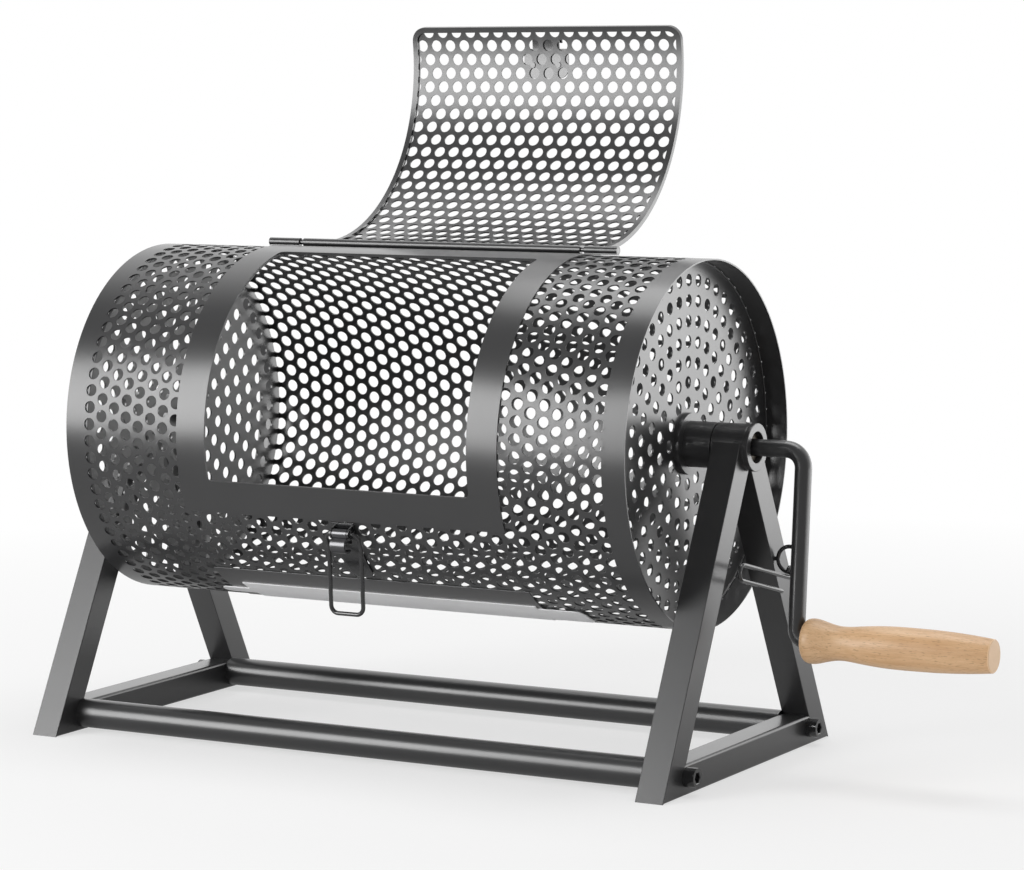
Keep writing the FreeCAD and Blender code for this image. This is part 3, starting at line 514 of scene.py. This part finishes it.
def add_end_bands(bm):
    """Plain bands from the last holes to the ends of the drum."""
    last_column = 0.9 * DRUM_HALF
    for side in (-1, 1):
        rim = [edge for edge in bm.edges if edge.is_boundary
               and all(side * vert.co.x > last_column for vert in edge.verts)
               and not is_hole_edge(edge)]
        grown = bmesh.ops.extrude_edge_only(bm, edges=rim)
        verts = [part for part in grown["geom"] if isinstance(part, bmesh.types.BMVert)]
        plane = Matrix.Translation((-side * DRUM_HALF, 0, 0))
        bmesh.ops.scale(bm, verts=verts, vec=(0, 1, 1), space=plane)


def is_hole_edge(edge):
    """Whether an edge is one of the short sides of a round hole."""
    return edge.calc_length() < LONGEST_HOLE_SIDE


def cut_mouth(bm, sizes):
    """Cuts the mouth with its rounded corners out of the unrolled shell."""
    low, high = sizes.mouth_low * DRUM_RADIUS, sizes.mouth_high * DRUM_RADIUS
    half = sizes.mouth_half_width
    reach = sizes.cover_half_width - sizes.cover_margin
    beyond = 12 * MM
    lines = [((half, 0), (1, 0)), ((-half, 0), (1, 0)), ((0, low), (0, 1)), ((0, high), (0, 1))]
    for point, direction in lines:
        near = [face for face in bm.faces if abs(face.calc_center_median().x) < reach
                and low - beyond < face.calc_center_median().y < high + beyond]
        cut_line(bm, point, direction, near)
    inside = [face for face in bm.faces if abs(face.calc_center_median().x) < half
              and low < face.calc_center_median().y < high]
    bmesh.ops.delete(bm, geom=inside, context="FACES")
    corners = [min(bm.verts, key=lambda vert: (vert.co.xy - Vector(corner)).length)
               for corner in ((-half, low), (half, low), (-half, high), (half, high))]
    bmesh.ops.bevel(bm, geom=corners, affect="VERTICES", offset=sizes.mouth_corner,
                    offset_type="OFFSET", segments=5, profile=0.5, material=-1)


def clear_seam(bm):
    """Takes out the walls inside the sheet where its two ends have met."""
    inner = [face for face in bm.faces if sum(len(edge.link_faces) > 2 for edge in face.edges) > 1]
    bmesh.ops.delete(bm, geom=inner, context="FACES")


def make_shell(sizes):
    """The rolled shell with its holes and its mouth."""
    hole_step = 2 * math.pi * DRUM_RADIUS / sizes.holes_round
    reach = hole_step / math.sqrt(3)
    plain = sheet_cell(reach, math.pi / 2, 0, 0)
    holed = sheet_cell(reach, math.pi / 2, sizes.hole, sizes.hole_sides)
    bm = lay_cells(shell_places(sizes, reach * 1.5, hole_step), plain, holed)
    bmesh.ops.scale(bm, verts=bm.verts, vec=(sizes.column_pitch / (reach * 1.5), 1, 1))
    cut_mouth(bm, sizes)
    add_end_bands(bm)
    thicken(bm, sizes.sheet)
    roll(bm, DRUM_RADIUS)
    bmesh.ops.remove_doubles(bm, verts=bm.verts, dist=SHEET_MERGE)
    clear_seam(bm)
    return finished_object(bm, "perforated_shell", "drum_shell", "drum")


# Perforated door

def trim_door(bm, sizes, low, high):
    """Trims the unrolled door sheet to its outline, with two rounded corners at the free edge."""
    half = sizes.half_width
    cut_line(bm, (half, 0), (1, 0), clear=True)
    cut_line(bm, (-half, 0), (-1, 0), clear=True)
    cut_line(bm, (0, high), (0, 1), clear=True)
    steps = 6
    for side in (-1, 1):
        centre = (side * (half - sizes.corner), low + sizes.corner)
        for index in range(steps + 1):
            turn = math.radians(90 * index / steps)
            direction = (side * math.sin(turn), -math.cos(turn))
            point = (centre[0] + direction[0] * sizes.corner, centre[1] + direction[1] * sizes.corner)
            cut_line(bm, point, direction, clear=True)


def door_places(sizes, low, high, row_step):
    """Where the cells of the unrolled door lie, with a row of plain ones along the free edge."""
    rows = math.ceil((high - low) / row_step) + 1
    half_count = math.ceil(sizes.half_width / sizes.pitch) + 1
    places = []
    for row in range(-1, rows):
        along = low + sizes.first_row + row * row_step
        shift = sizes.row_shift + (sizes.pitch / 2 if row % 2 else 0)
        for index in range(-half_count, half_count + 1):
            places.append((shift + index * sizes.pitch, along, row >= 0))
    return places


def make_door(sizes, shell):
    """The rolled door sheet, swung open about its hinge."""
    radius = sizes.outer_radius
    low, high = sizes.free_angle * radius, sizes.hinge_angle * radius
    reach = sizes.pitch / math.sqrt(3)
    plain = sheet_cell(reach, 0, 0, 0)
    holed = sheet_cell(reach, 0, shell.hole, shell.hole_sides)
    bm = lay_cells(door_places(sizes, low, high, reach * 1.5), plain, holed)
    trim_door(bm, sizes, low, high)
    thicken(bm, sizes.sheet)
    roll(bm, radius)
    bmesh.ops.rotate(bm, verts=bm.verts, cent=HINGE_POINT,
                     matrix=Matrix.Rotation(-math.radians(DOOR_OPENING), 3, "X"))
    return finished_object(bm, "perforated_door", "door_panel", "door")


# Rounded edges

def ridges(bm, least_length):
    """The sharp outer edges of a solid that are at least so long."""
    return [edge for edge in bm.edges if edge.is_manifold and edge.is_convex
            and edge.calc_face_angle() > RIDGE_ANGLE and edge.calc_length() > least_length]


def eased_piece(node, width, segments, least_length=0.0):
    """A piece that stands for a CAD node, with its outer edges rounded."""
    bm = bmesh.new()
    bm.from_mesh(frame["nodes"][node].data)
    bmesh.ops.remove_doubles(bm, verts=bm.verts, dist=SOLID_MERGE)
    bmesh.ops.dissolve_limit(bm, angle_limit=FLAT_ANGLE, verts=bm.verts, edges=bm.edges)
    bmesh.ops.bevel(bm, geom=ridges(bm, least_length), affect="EDGES", offset=width, offset_type="OFFSET",
                    segments=segments, profile=0.5, material=-1, clamp_overlap=True)
    bmesh.ops.remove_doubles(bm, verts=bm.verts, dist=SOLID_MERGE)
    piece = finished_object(bm, node + "_rounded", node, frame["nodes"][node]["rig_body"])
    shading = piece.modifiers.new("shading", "WEIGHTED_NORMAL")
    shading.keep_sharp = True
    return piece


# Operators

class DRUM_OT_finishes(bpy.types.Operator):
    """Make every finish and put it on the solid pieces"""
    bl_idname = "raffle_drum.finishes"
    bl_label = "Finishes"

    def execute(self, context):
        make_finishes(context.scene.drum_finishes)
        for node, piece in frame["nodes"].items():
            for slot in piece.material_slots:
                slot.material = finish_of(node)
        return {"FINISHED"}


class DRUM_OT_shell(bpy.types.Operator):
    """Roll the perforated shell with its mouth"""
    bl_idname = "raffle_drum.shell"
    bl_label = "Perforated shell"

    def execute(self, context):
        make_shell(context.scene.drum_shell)
        return {"FINISHED"}


class DRUM_OT_door(bpy.types.Operator):
    """Roll the perforated sheet of the door and swing it open"""
    bl_idname = "raffle_drum.door"
    bl_label = "Perforated door"

    def execute(self, context):
        make_door(context.scene.drum_door, context.scene.drum_shell)
        return {"FINISHED"}


class DRUM_OT_stand(bpy.types.Operator):
    """Round the tubes, bolts and bearing housings of the stand"""
    bl_idname = "raffle_drum.stand"
    bl_label = "Stand"

    def execute(self, context):
        sizes = context.scene.drum_edges
        for side in ("right_", "left_"):
            for part in ("rear_leg", "front_leg", "foot_bar"):
                eased_piece(side + part, sizes.tube_corner, 4, least_length=60 * MM)
            for part in ("bearing_housing", "housing_ring"):
                eased_piece(side + part, sizes.turned_edge, 3)
        eased_piece("rail_bolts", sizes.bolt_edge, 3, least_length=1.2 * MM)
        return {"FINISHED"}


class DRUM_OT_sheets(bpy.types.Operator):
    """Ease the edges of the plain sheets on the drum"""
    bl_idname = "raffle_drum.sheets"
    bl_label = "Plain sheets"

    def execute(self, context):
        sizes = context.scene.drum_edges
        for node in ("mouth_surround", "lower_band"):
            eased_piece(node, sizes.sheet_edge, 2)
        for node in ("right_end_plate", "left_end_plate"):
            eased_piece(node, sizes.lip_edge, 3, least_length=2.5 * MM)
        return {"FINISHED"}


class DRUM_OT_fittings(bpy.types.Operator):
    """Ease the edges of the hubs, the latch and the keeper"""
    bl_idname = "raffle_drum.fittings"
    bl_label = "Hubs, latch and keeper"

    def execute(self, context):
        sizes = context.scene.drum_edges
        for node in ("right_hub", "left_hub"):
            eased_piece(node, sizes.turned_edge, 3)
        for node in ("latch_base", "latch_lever", "keeper"):
            eased_piece(node, sizes.sheet_edge, 2)
        return {"FINISHED"}


class DRUM_OT_grip(bpy.types.Operator):
    """Round the end of the wooden grip"""
    bl_idname = "raffle_drum.grip"
    bl_label = "Grip"

    def execute(self, context):
        eased_piece("crank_grip", context.scene.drum_edges.grip_edge, 4)
        return {"FINISHED"}


class DRUM_OT_stage(bpy.types.Operator):
    """Set up the floor, the lamps and the camera"""
    bl_idname = "raffle_drum.stage"
    bl_label = "Studio"

    def execute(self, context):
        studio = context.scene.drum_studio
        make_floor(studio)
        make_world(studio)
        make_lamps(studio)
        make_camera(studio)
        context.scene.view_settings.view_transform = "Standard"
        return {"FINISHED"}


# Studio

def make_floor(studio):
    """A pale floor that keeps the object's shadow."""
    bm = bmesh.new()
    bmesh.ops.create_grid(bm, x_segments=1, y_segments=1, size=30)
    mesh = bpy.data.meshes.new("floor")
    bm.to_mesh(mesh)
    bm.free()
    finish = Finish("floor")
    straight, mirrored = finish.straight_rays(), finish.mirrored_rays()
    place = finish.place()
    distance = finish.add("VectorMath", {"operation": "LENGTH"}, {0: place}, "Value")
    near = finish.ramp(distance * (1 / studio.floor_reach), [(0.30, studio.floor_share), (1.0, 0.0)])
    across = finish.add("SeparateXYZ", inputs={"Vector": place}, output="X")
    back = finish.add("SeparateXYZ", inputs={"Vector": place}, output="Y")
    right = finish.ramp(across * 0.25 + 0.25, [(0.36, 0.0), (0.49, 1.0)])
    behind = finish.ramp(back * 0.25 + 0.25, [(0.20, 0.0), (0.40, 1.0)])
    shine = studio.floor_shine_front + behind * (0.4 + studio.floor_shine_right * right)
    lit = finish.add("BsdfDiffuse", inputs={"Color": rgba(studio.floor)})
    own = finish.add("Emission", inputs={"Color": straight + mirrored * shine})
    both = finish.add("MixShader", inputs={0: 1 - (straight + mirrored) * (1 - near), 1: own, 2: lit})
    finish.add("OutputMaterial", inputs={"Surface": both})
    mesh.materials.append(finish.material)
    floor = bpy.data.objects.new("floor", mesh)
    bpy.context.scene.collection.objects.link(floor)


def make_world(studio):
    """Surroundings that are white to the camera and bright behind the drum, and soft for the light."""
    world = bpy.data.worlds.new("studio")
    bpy.context.scene.world = world
    room = Finish("studio", world)
    direction = room.add("TexCoord", output="Generated")
    back = room.add("SeparateXYZ", inputs={"Vector": direction}, output="Y")
    behind = room.ramp(back * 0.5 + 0.5, [(0.45, 0.0), (0.70, 1.0)])
    white = room.straight_rays() + room.mirrored_rays() * behind * studio.wall_shine
    strength = studio.sky + (1 - studio.sky) * white
    light = room.add("Background", inputs={"Color": (1, 1, 1, 1), "Strength": strength})
    room.add("OutputWorld", inputs={"Surface": light})


def add_lamp(name, place, size, power):
    """A soft area lamp that faces the drum. Its power is in watts."""
    lamp = bpy.data.lights.new(name, "AREA")
    lamp.shape = "RECTANGLE"
    lamp.size, lamp.size_y = size
    lamp.energy = power
    thing = bpy.data.objects.new(name, lamp)
    thing.location = place
    direction = DRUM_MIDDLE - Vector(place)
    thing.rotation_euler = direction.to_track_quat("-Z", "Y").to_euler()
    bpy.context.scene.collection.objects.link(thing)


def make_lamps(studio):
    """Soft boxes: front left, back right, and above."""
    add_lamp("front_left_box", (-1.75, -2.45, 1.0), (1.4, 1.9), studio.front_left_power)
    add_lamp("back_right_box", (1.65, 2.75, 0.62), (2.6, 1.2), studio.back_right_power)
    add_lamp("top_box", (-0.1, 0.4, 2.6), (2.2, 1.2), studio.top_power)


def make_camera(studio):
    """The camera, turned to the right of the front and a little above."""
    camera = bpy.data.cameras.new("camera")
    camera.lens = studio.lens
    camera.sensor_width = 36
    camera.shift_x = studio.shift_x
    camera.shift_y = studio.shift_y
    camera.clip_end = 100
    thing = bpy.data.objects.new("camera", camera)
    target = DRUM_MIDDLE + Vector((studio.target_across, 0, studio.target_height - DRUM_MIDDLE.z))
    ahead = Vector((-math.sin(studio.turn) * math.cos(studio.rise),
                    math.cos(studio.turn) * math.cos(studio.rise), -math.sin(studio.rise)))
    right = ahead.cross(Vector((0, 0, 1))).normalized()
    up = right.cross(ahead)
    rolled_right = right * math.cos(studio.roll) + up * math.sin(studio.roll)
    rolled_up = up * math.cos(studio.roll) - right * math.sin(studio.roll)
    axes = Matrix((rolled_right, rolled_up, -ahead)).transposed().to_4x4()
    thing.matrix_world = Matrix.Translation(target - ahead * studio.distance) @ axes
    bpy.context.scene.collection.objects.link(thing)
    bpy.context.scene.camera = thing


class DRUM_PT_panel(bpy.types.Panel):
    """The pieces of the drum, in the order in which they are made"""
    bl_idname = "DRUM_PT_panel"
    bl_label = "Raffle drum"
    bl_space_type = "VIEW_3D"
    bl_region_type = "UI"
    bl_category = "Raffle drum"

    def draw(self, context):
        for operator in OPERATORS:
            self.layout.operator(operator.bl_idname)


OPERATORS = (DRUM_OT_finishes, DRUM_OT_shell, DRUM_OT_door, DRUM_OT_sheets, DRUM_OT_fittings,
             DRUM_OT_stand, DRUM_OT_grip, DRUM_OT_stage)
GROUPS = {"drum_shell": ShellSizes, "drum_door": DoorSizes, "drum_edges": EdgeSizes,
          "drum_finishes": Finishes, "drum_studio": Studio}


def register():
    """Registers the classes and puts the sizes on the scene."""
    for group in GROUPS.values():
        bpy.utils.register_class(group)
    for operator in OPERATORS:
        bpy.utils.register_class(operator)
    bpy.utils.register_class(DRUM_PT_panel)
    for name, group in GROUPS.items():
        setattr(bpy.types.Scene, name, bpy.props.PointerProperty(type=group))


def unregister():
    """Takes the sizes off the scene and unregisters the classes."""
    for name in GROUPS:
        delattr(bpy.types.Scene, name)
    bpy.utils.unregister_class(DRUM_PT_panel)
    for operator in reversed(OPERATORS):
        bpy.utils.unregister_class(operator)
    for group in reversed(list(GROUPS.values())):
        bpy.utils.unregister_class(group)


def main():
    """Makes every piece in order."""
    register()
    bpy.ops.raffle_drum.finishes()
    bpy.ops.raffle_drum.shell()
    bpy.ops.raffle_drum.door()
    bpy.ops.raffle_drum.sheets()
    bpy.ops.raffle_drum.fittings()
    bpy.ops.raffle_drum.stand()
    bpy.ops.raffle_drum.grip()
    bpy.ops.raffle_drum.stage()


if __name__ == "__main__":
    main()
